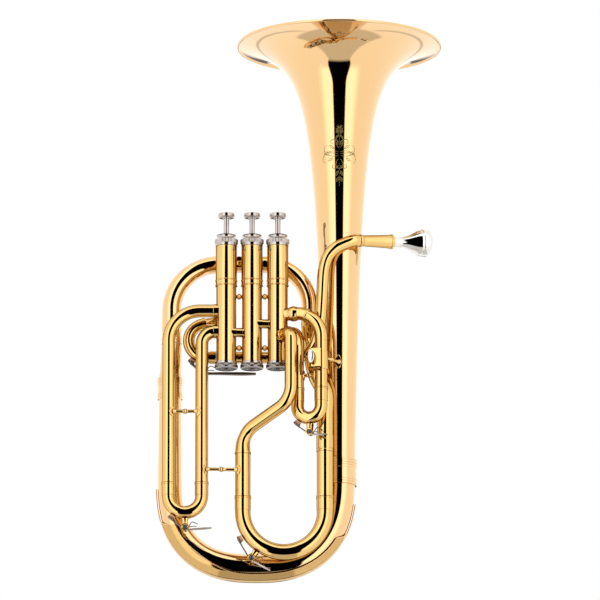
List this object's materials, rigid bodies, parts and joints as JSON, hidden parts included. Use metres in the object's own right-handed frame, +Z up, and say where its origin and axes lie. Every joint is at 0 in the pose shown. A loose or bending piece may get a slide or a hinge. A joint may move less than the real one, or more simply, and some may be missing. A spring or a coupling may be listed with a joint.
{
  "type": "alto horn",
  "caption": "Bell-up brass alto horn with a row of piston valves, tuning slides, a bottom bow and a mouthpiece on a side leadpipe.",
  "frame": {"origin": "lowest point of the bottom bow's guard, where a stand's cradle holds the horn, in the plane of the bell and bows", "axes": "+Z up along the bell, which opens upwards; +X to the right as the valves face the viewer, towards the mouthpiece; +Y away from the viewer, from the valves towards the bell's plane"},
  "size_m": [0.2867, 0.207, 0.5547],
  "materials": {
    "lacquered_brass": "polished under clear lacquer",
    "nickel_silver": "polished plate",
    "dark_steel": "dull"
  },
  "bodies": {
    "horn": {"bell": "lacquered_brass", "bell_brace": "lacquered_brass", "bell_ferrule": "lacquered_brass", "bottom_bow": "lacquered_brass", "bottom_cap_1": "nickel_silver", "bottom_cap_2": "nickel_silver", "bottom_cap_3": "nickel_silver", "bow_guard": "lacquered_brass", "branch_ferrule": "lacquered_brass", "first_slide_brace": "lacquered_brass", "first_slide_lower_tube": "lacquered_brass", "first_slide_upper_tube": "lacquered_brass", "knuckle_1_2": "lacquered_brass", "knuckle_2_3": "lacquered_brass", "leadpipe": "lacquered_brass", "leadpipe_loop": "lacquered_brass", "left_branch": "lacquered_brass", "lyre_holder": "lacquered_brass", "mouthpiece_receiver": "lacquered_brass", "return_tube": "lacquered_brass", "second_slide_lower_tube": "lacquered_brass", "second_slide_upper_tube": "lacquered_brass", "third_slide_brace": "lacquered_brass", "third_slide_lower_tube": "lacquered_brass", "third_slide_upper_tube": "lacquered_brass", "top_bow": "lacquered_brass", "top_cap_1": "nickel_silver", "top_cap_2": "nickel_silver", "top_cap_3": "nickel_silver", "tuning_slide_brace": "lacquered_brass", "tuning_slide_left_tube": "lacquered_brass", "tuning_slide_right_tube": "lacquered_brass", "valve_casing_1": "lacquered_brass", "valve_casing_2": "lacquered_brass", "valve_casing_3": "lacquered_brass", "valve_outlet_tube": "lacquered_brass", "valve_spring_1": "dark_steel", "valve_spring_2": "dark_steel", "valve_spring_3": "dark_steel", "water_key_saddle_4": "lacquered_brass"},
    "valve_1": {"piston_1": "nickel_silver", "finger_button_1": "nickel_silver"},
    "valve_2": {"piston_2": "nickel_silver", "finger_button_2": "nickel_silver"},
    "valve_3": {"piston_3": "nickel_silver", "finger_button_3": "nickel_silver"},
    "first_slide": {"first_slide_bow": "lacquered_brass", "water_key_saddle_1": "lacquered_brass"},
    "second_slide": {"second_slide_bow": "lacquered_brass"},
    "third_slide": {"third_slide_bow": "lacquered_brass", "water_key_saddle_3": "lacquered_brass"},
    "tuning_slide": {"tuning_slide_bow": "lacquered_brass", "water_key_saddle_2": "lacquered_brass"},
    "key_1": {"water_key_1": "dark_steel"},
    "key_2": {"water_key_2": "dark_steel"},
    "key_3": {"water_key_3": "dark_steel"},
    "key_4": {"water_key_4": "dark_steel"},
    "mouthpiece": {"mouthpiece": "nickel_silver"},
    "lyre_screw": {"lyre_thumbscrew": "nickel_silver"}
  },
  "joints": [
    {"name": "valve_1_press", "type": "slide", "parent": "horn", "child": "valve_1", "axis": [0, 0, -1], "range_m": [0, 0.0145], "stiffness_N_per_m": 150, "springref_m": -0.03, "deforming": ["valve_spring_1"]},
    {"name": "valve_2_press", "type": "slide", "parent": "horn", "child": "valve_2", "axis": [0, 0, -1], "range_m": [0, 0.0145], "stiffness_N_per_m": 150, "springref_m": -0.03, "deforming": ["valve_spring_2"]},
    {"name": "valve_3_press", "type": "slide", "parent": "horn", "child": "valve_3", "axis": [0, 0, -1], "range_m": [0, 0.0145], "stiffness_N_per_m": 150, "springref_m": -0.03, "deforming": ["valve_spring_3"]},
    {"name": "first_slide_pull", "type": "slide", "parent": "horn", "child": "first_slide", "axis": [0, 0, -1], "range_m": [0, 0.028]},
    {"name": "second_slide_pull", "type": "slide", "parent": "horn", "child": "second_slide", "axis": [0, 1, 0], "range_m": [0, 0.012]},
    {"name": "third_slide_pull", "type": "slide", "parent": "horn", "child": "third_slide", "axis": [0, 0, -1], "range_m": [0, 0.09]},
    {"name": "tuning_slide_pull", "type": "slide", "parent": "horn", "child": "tuning_slide", "axis": [0, 0, -1], "range_m": [0, 0.035]},
    {"name": "water_key_1_hinge", "type": "hinge", "parent": "first_slide", "child": "key_1", "pos_m": [0.05528, -0.03741, 0.14483], "axis": [-0.2628, -0.9649, 0], "range_deg": [0, 12], "stiffness_Nm_per_rad": 0.03, "springref_deg": -20.05},
    {"name": "water_key_2_hinge", "type": "hinge", "parent": "tuning_slide", "child": "key_2", "pos_m": [-0.0032, -0.0248, 0.01928], "axis": [0, -1, 0], "range_deg": [0, 12], "stiffness_Nm_per_rad": 0.03, "springref_deg": -20.05},
    {"name": "water_key_3_hinge", "type": "hinge", "parent": "third_slide", "child": "key_3", "pos_m": [-0.06925, -0.028, 0.0495], "axis": [0, -1, 0], "range_deg": [0, 12], "stiffness_Nm_per_rad": 0.03, "springref_deg": -20.05},
    {"name": "water_key_4_hinge", "type": "hinge", "parent": "horn", "child": "key_4", "pos_m": [-0.05206, -0.0115, 0.21367], "axis": [0, -1, 0], "range_deg": [0, 8], "stiffness_Nm_per_rad": 0.03, "springref_deg": -20.05},
    {"name": "mouthpiece_pull", "type": "slide", "parent": "horn", "child": "mouthpiece", "axis": [0.9036, 0.4214, 0.0767], "range_m": [0, 0.03]},
    {"name": "lyre_screw_turn", "type": "hinge", "parent": "horn", "child": "lyre_screw", "pos_m": [0.0608, -0.0513, 0.2179], "axis": [-0.5, -0.866, 0], "continuous": true}
  ]
}
